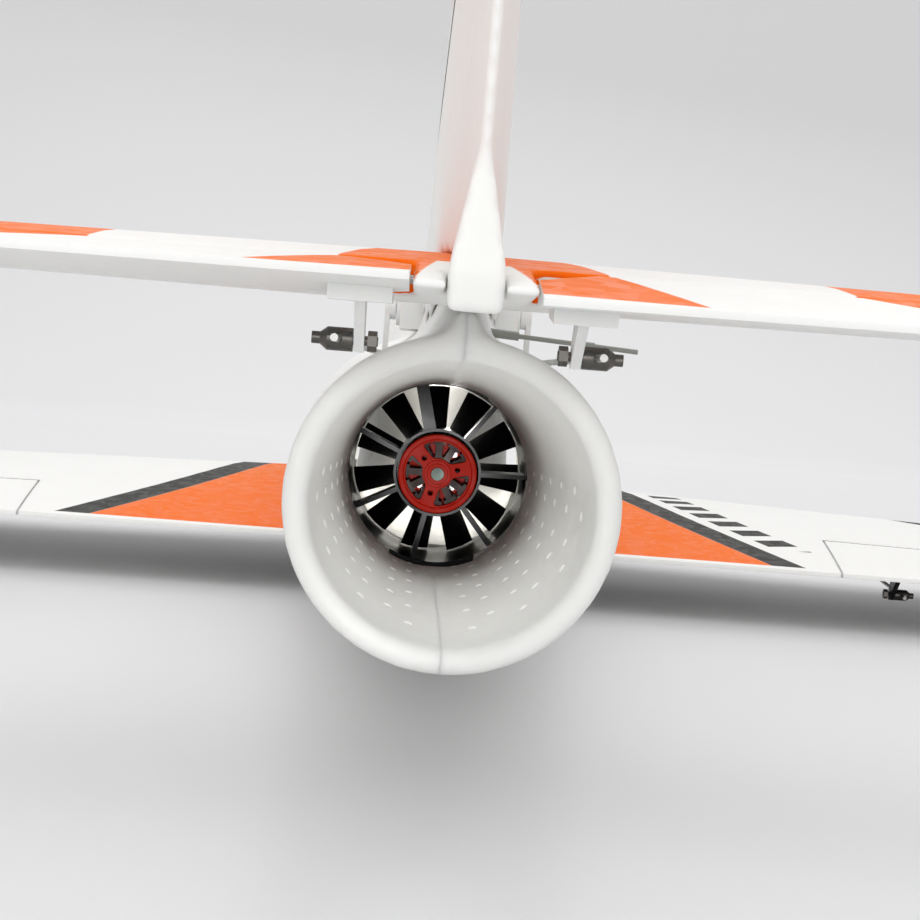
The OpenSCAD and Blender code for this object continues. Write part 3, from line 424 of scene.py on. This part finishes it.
own = {
    "motor_shaft": turned("shaft_steel", "7E8A84", "6C7872", 0.5, 0.5).mat,
    "wing_left": foam("foam_wing_left", wing_decal(False), beads=0.03, gloss=0.06),
    "wing_right": foam("foam_wing_right", wing_decal(True), beads=0.03, gloss=0.06),
    "tailplane": foam("foam_tail", tail_decal, beads=0.03, gloss=0.06),
    "fin": foam("foam_fin", fin_decal, beads=0.06, gloss=0.1),
}
own["aileron_left"], own["aileron_right"] = own["wing_left"], own["wing_right"]
own["elevator_left"] = own["elevator_right"] = own["tailplane"]


def finish_of(node):
    return own.get(node, made[slots[node]])


for name, o in nodes.items():
    o.data.materials.clear()
    o.data.materials.append(finish_of(name))


# ---------------------------------------------------------------- foam skins

WELD, SLIVER = 2e-6, 1e-6        # points this close are joined, and edges this short removed
SHARP_ANGLE = 38                 # degrees between faces from which an unsoftened skin keeps an edge
HALF_SHARP_ANGLE = 60            # the same for the body halves, which are softened


def stand_for(o, node):
    """Puts o in node's place: on its body, with the node hidden."""
    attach(o, nodes[node]["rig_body"])
    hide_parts(node)


def evaluated_mesh(o):
    return bpy.data.meshes.new_from_object(o.evaluated_get(bpy.context.evaluated_depsgraph_get()))


def soften(o, voxel, rounds):
    """Gives o's mesh rounded edges: remeshed in voxels of a size, then smoothed in rounds."""
    voxels = o.modifiers.new("voxels", "REMESH")
    voxels.mode, voxels.voxel_size = "VOXEL", voxel
    smooth = o.modifiers.new("soften", "SMOOTH")
    smooth.factor, smooth.iterations = 0.5, rounds
    mesh = evaluated_mesh(o)
    o.modifiers.clear()
    old, o.data = o.data, mesh
    bpy.data.meshes.remove(old)


def skin(node, voxel=0.0, rounds=0):
    """A CAD foam piece again with smooth shading, and softened where a voxel size is given."""
    mesh = nodes[node].data.copy()
    bm = bmesh.new()
    bm.from_mesh(mesh)
    bmesh.ops.remove_doubles(bm, verts=bm.verts, dist=WELD)
    bmesh.ops.dissolve_degenerate(bm, edges=bm.edges, dist=SLIVER)
    bm.to_mesh(mesh)
    bm.free()
    if "custom_normal" in mesh.attributes:
        mesh.attributes.remove(mesh.attributes["custom_normal"])
    o = add(node + "_skin", mesh)
    if voxel:
        soften(o, voxel, rounds)
    o.data.shade_smooth()
    if not voxel:
        o.data.set_sharp_from_angle(angle=math.radians(SHARP_ANGLE))
    o.data.materials.clear()
    o.data.materials.append(finish_of(node))
    stand_for(o, node)
    return o


# The marks in the exhaust tube. The tube narrows from the fan to the nozzle, and its middle line
# falls from the nozzle's centre to the fan's axis.
TUBE_FROM, TUBE_LENGTH = 0.024, 0.306
TUBE_RADIUS, TUBE_FLARE = 0.0305, 0.0045
PIP_ROWS, PIPS_IN_ROW, PIP_SIDES, PIP_SLOT = 11, 4, 16, 1
PIP_FROM, PIP_STEP = 0.036, 0.025                           # along the tube
PIP_TURN_FROM, PIP_TURN_STEP, PIP_STAGGER = 14, 24, 10      # degrees round it
# Each mark's radius at a height above the wall, from its foot in the foam to its top.
PIP_PROFILE = ((0.0013, -0.0004), (0.0013, 0.0001), (0.001, 0.0004), (0.0005, 0.00055))


def pips(bm, way):
    """The low round marks that moulding leaves in the exhaust tube, on one side of the joint."""
    ahead = Vector((0, 1, 0))
    for row in range(PIP_ROWS):
        station = PIP_FROM + PIP_STEP * row
        bend = (station - TUBE_FROM) / TUBE_LENGTH
        center = Vector((0, EXIT_Y + station, AXIS_Z - FAN_DROP * bend))
        for step in range(PIPS_IN_ROW):
            turn = math.radians(PIP_TURN_FROM + PIP_TURN_STEP * step + PIP_STAGGER * (row % 2))
            out = Vector((way * math.sin(turn), 0, -math.cos(turn)))
            foot = center + out * (TUBE_RADIUS + TUBE_FLARE * bend)
            side = out.cross(ahead)
            rings = []
            for radius, rise in PIP_PROFILE:
                ring = []
                for k in range(PIP_SIDES):
                    a = 2 * math.pi * k / PIP_SIDES
                    around = side * radius * math.cos(a) + ahead * radius * math.sin(a)
                    ring.append(bm.verts.new(foot - out * rise + around))
                rings.append(ring)
            for a, b in zip(rings, rings[1:]):
                for k in range(PIP_SIDES):
                    n = (k + 1) % PIP_SIDES
                    bm.faces.new((a[k], a[n], b[n], b[k])).material_index = PIP_SLOT
            bm.faces.new(rings[-1]).material_index = PIP_SLOT
            bm.faces.new(rings[0][::-1]).material_index = PIP_SLOT


def soft_halves(left, right, voxel, rounds):
    """Both body mouldings as one softened form, cut again at the joint line."""
    whole = skin(left)
    other = skin(right)
    union = whole.modifiers.new("join", "BOOLEAN")
    union.operation, union.object, union.solver = "UNION", other, "EXACT"
    soften(whole, voxel, rounds)
    for o, way in ((other, 1), (whole, -1)):
        bm = bmesh.new()
        bm.from_mesh(whole.data)
        bmesh.ops.bisect_plane(
            bm, geom=bm.verts[:] + bm.edges[:] + bm.faces[:], dist=1e-7,
            plane_co=(0, 0, 0), plane_no=(way, 0, 0), clear_inner=True,
        )
        rim = [e for e in bm.edges if e.is_boundary]
        bmesh.ops.triangle_fill(bm, edges=rim, use_beauty=True)
        pips(bm, way)
        mesh = bpy.data.meshes.new(o.name)
        bm.to_mesh(mesh)
        bm.free()
        mesh.materials.append(o.data.materials[0])
        mesh.materials.append(made["pip_highlight"])
        mesh.shade_smooth()
        mesh.set_sharp_from_angle(angle=math.radians(HALF_SHARP_ANGLE))
        o.data = mesh


soft_halves("fuselage_left", "fuselage_right", voxel=0.0018, rounds=10)
for name in ("fan_hatch", "canopy_frame", "canopy_glass", "wing_left", "wing_right",
             "aileron_left", "aileron_right", "elevator_left", "elevator_right"):
    skin(name)
skin("tailplane", voxel=0.0011, rounds=5)
skin("fin", voxel=0.0011, rounds=6)


# ---------------------------------------------------------------- motor bell

SPOKE_TURN = math.radians(120)   # between two of the bell's three spokes
SPOKE_FROM = math.radians(14)
BELL_SHARP_ANGLE = 35


def circle(radius, x=0, z=0, count=72):
    turns = (2 * math.pi * k / count for k in range(count))
    return [(x + radius * math.cos(a), z + radius * math.sin(a)) for a in turns]


def plate(loops, rear, front, bevel):
    """A flat piece square to the fan's axis, with rounded edges, in mm.

    The first loop is its outline and the others are its holes."""
    curve = bpy.data.curves.new("plate", "CURVE")
    curve.dimensions, curve.fill_mode = "2D", "BOTH"
    for loop in loops:
        line = curve.splines.new("POLY")
        line.points.add(len(loop) - 1)
        for point, (x, z) in zip(line.points, loop):
            point.co = (x, z, 0, 1)
        line.use_cyclic_u = True
    curve.bevel_depth, curve.bevel_resolution, curve.offset = bevel, 2, -bevel
    curve.extrude = (front - rear) / 2 - bevel
    o = add("plate", curve)
    bpy.context.view_layer.update()
    mesh = evaluated_mesh(o)
    bpy.data.objects.remove(o)
    turn = Matrix(((1, 0, 0, 0), (0, 0, 1, (front + rear) / 2), (0, 1, 0, 0), (0, 0, 0, 1)))
    mesh.transform(Matrix.Scale(0.001, 4) @ turn)
    mesh.flip_normals()
    return mesh


def polar(radius, angle):
    return Vector((radius * math.cos(angle), radius * math.sin(angle)))


def window(start, inner, outer, half, corner):
    """The opening between two spokes, each twice half wide, with rounded corners."""
    def ends(radius, shift):
        """The angles at which the opening's arc of a radius ends, drawn in by shift."""
        side = math.asin(half / radius)
        return start + side + shift / radius, start + SPOKE_TURN - side - shift / radius

    def toward(a, b):
        return a + (b - a).normalized() * corner

    def bend(a, b, c):
        """Rounds the corner b."""
        for t in (k / 6 for k in range(7)):
            loop.append((1 - t) ** 2 * a + 2 * t * (1 - t) * b + t * t * c)

    a0, a1 = ends(outer, corner)
    b0, b1 = ends(inner, corner)
    c0, c1 = (polar(outer, a) for a in ends(outer, 0))
    d0, d1 = (polar(inner, a) for a in ends(inner, 0))
    loop = []
    bend(toward(c0, d0), c0, polar(outer, a0))
    loop.extend(polar(outer, a0 + (a1 - a0) * k / 16) for k in range(1, 16))
    bend(polar(outer, a1), c1, toward(c1, d1))
    bend(toward(d1, c1), d1, polar(inner, b1))
    loop.extend(polar(inner, b1 + (b0 - b1) * k / 8) for k in range(1, 8))
    bend(polar(inner, b0), d0, toward(d0, c0))
    return [tuple(v) for v in loop]


def bell():
    """The motor bell, in this order: rim, face with three spokes, can, hub, and the hub's step."""
    hub_bore, hole, ring = 2.55, 1.0, 8
    spokes = [SPOKE_FROM + SPOKE_TURN * k for k in range(3)]
    holes = [circle(hole, ring * math.cos(a), ring * math.sin(a), 20) for a in spokes]
    windows = [window(a, inner=6.0, outer=12.6, half=2.7, corner=1.6) for a in spokes]
    bore = circle(hub_bore, count=32)
    parts = [
        plate([circle(15.5), circle(13.2)], 0.0, 3.4, 0.55),
        plate([circle(13.6), bore] + holes + windows, 1.5, 3.3, 0.25),
        plate([circle(15.4), circle(14.25)], 3.2, 24.0, 0.2),
        plate([circle(5.4, count=48), bore], 0.4, 2.0, 0.3),
        plate([circle(4.1, count=48), bore], -0.75, 2.0, 0.25),
    ]
    bm = bmesh.new()
    for part in parts:
        bm.from_mesh(part)
    bmesh.ops.translate(bm, verts=bm.verts, vec=(0, BELL_Y, FAN_Z))
    mesh = bpy.data.meshes.new("motor_bell_face")
    bm.to_mesh(mesh)
    bm.free()
    mesh.shade_smooth()
    mesh.set_sharp_from_angle(angle=math.radians(BELL_SHARP_ANGLE))
    mesh.materials.append(made["red_anodised"])
    stand_for(add("motor_bell_face", mesh), "motor_bell")


bell()


# ---------------------------------------------------------------- stage, lights, camera

def stage_floor():
    """A pale floor that curves up into a wall ahead of the plane."""
    floor_z, rear, half_width = -0.0002, -4.0, 6.0
    bend_y, radius, wall_y, wall_z = 2.2, 1.6, 3.8, 4.5
    quarter = [a * math.pi / 40 for a in range(1, 21)]
    outline = [(rear, floor_z), (bend_y, floor_z)]
    outline += [(bend_y + radius * math.sin(a), radius - radius * math.cos(a)) for a in quarter]
    outline.append((wall_y, wall_z))
    bm = bmesh.new()
    rows = [[bm.verts.new((x, y, z)) for x in (-half_width, half_width)] for y, z in outline]
    for a, b in zip(rows, rows[1:]):
        bm.faces.new((a[0], a[1], b[1], b[0])).smooth = True
    mesh = bpy.data.meshes.new("studio_floor")
    bm.to_mesh(mesh)
    bm.free()
    p = Paint("studio_white", "E3E3E4", 0.32)
    p.set("Roughness", p.ramp(p.noise(3.0), *NOISE, 0.28, 0.36))
    mesh.materials.append(p.mat)
    add("studio_floor", mesh)


def lamp(name, kind, watts, at, aim=None, **settings):
    """A lamp that lights but isn't seen itself."""
    data = bpy.data.lights.new(name, kind)
    data.energy = watts
    for key, value in settings.items():
        setattr(data, key, value)
    o = add(name, data)
    o.location = at
    if aim:
        o.rotation_euler = (Vector(aim) - Vector(at)).to_track_quat("-Z", "Y").to_euler()
    o.visible_camera = False


def panel(name, watts, at, aim, width, depth):
    lamp(name, "AREA", watts, at, aim, shape="RECTANGLE", size=width, size_y=depth)


stage_floor()
panel("key", 26, (0.3, 2.4, 2.2), (0, 0, 0), 3.0, 1.6)
panel("top", 16, (-0.4, -0.6, 2.6), (0, -0.2, 0), 3.0, 3.0)
panel("tail", 16, (-0.3, -2.6, 0.46), (0, 0, 0.06), 2.2, 0.9)
# Daylight that comes through the foam into the exhaust tube, down it, and through the intakes.
panel("glow_up", 0.007, (0, -0.340, 0.056), (0, -0.340, 1), 0.03, 0.20)
panel("glow", 0.0125, (0, -0.325, 0.062), (0, -0.325, 0), 0.03, 0.20)
lamp("spot", "SPOT", 4.2, (-0.014, -0.76, 0.048), (0, -0.115, FAN_Z),
     spot_size=math.radians(5.6), spot_blend=0.5, shadow_soft_size=0.012)
lamp("duct", "POINT", 0.055, (0, -0.016, 0.076), shadow_soft_size=0.008, color=(1.0, 0.97, 0.93))

world = bpy.data.worlds.new("studio")
world.use_nodes = True
world.node_tree.nodes["Background"].inputs["Color"].default_value = (0.985, 0.985, 0.985, 1)
world.node_tree.nodes["Background"].inputs["Strength"].default_value = 0.8
scene.world = world
scene.view_settings.view_transform = "Standard"

# The camera, solved from the photograph: its lens in pixels, the point of the picture that looks
# along the body, and the way that the wings run in the picture.
PICTURE, LENS, SENSOR = 920, 1784.0, 36
AHEAD_AT = (424.5, 380)
WINGS_RUN = (0.9969, -0.0785, 0)
CAMERA_AT = (-0.0079, EXIT_Y - 0.3716, AXIS_Z + 0.0259)
camera = add("camera", bpy.data.cameras.new("camera"))
scene.camera = camera
camera.data.sensor_width, camera.data.clip_start = SENSOR, 0.01
camera.data.lens = SENSOR * LENS / PICTURE
ahead = Vector((AHEAD_AT[0] - PICTURE / 2, PICTURE / 2 - AHEAD_AT[1], -LENS)).normalized()
across = Vector(WINGS_RUN)
across = (across - across.dot(ahead) * ahead).normalized()
turned_by = Matrix((across, ahead, across.cross(ahead))).to_4x4()
camera.matrix_world = Matrix.Translation(CAMERA_AT) @ turned_by
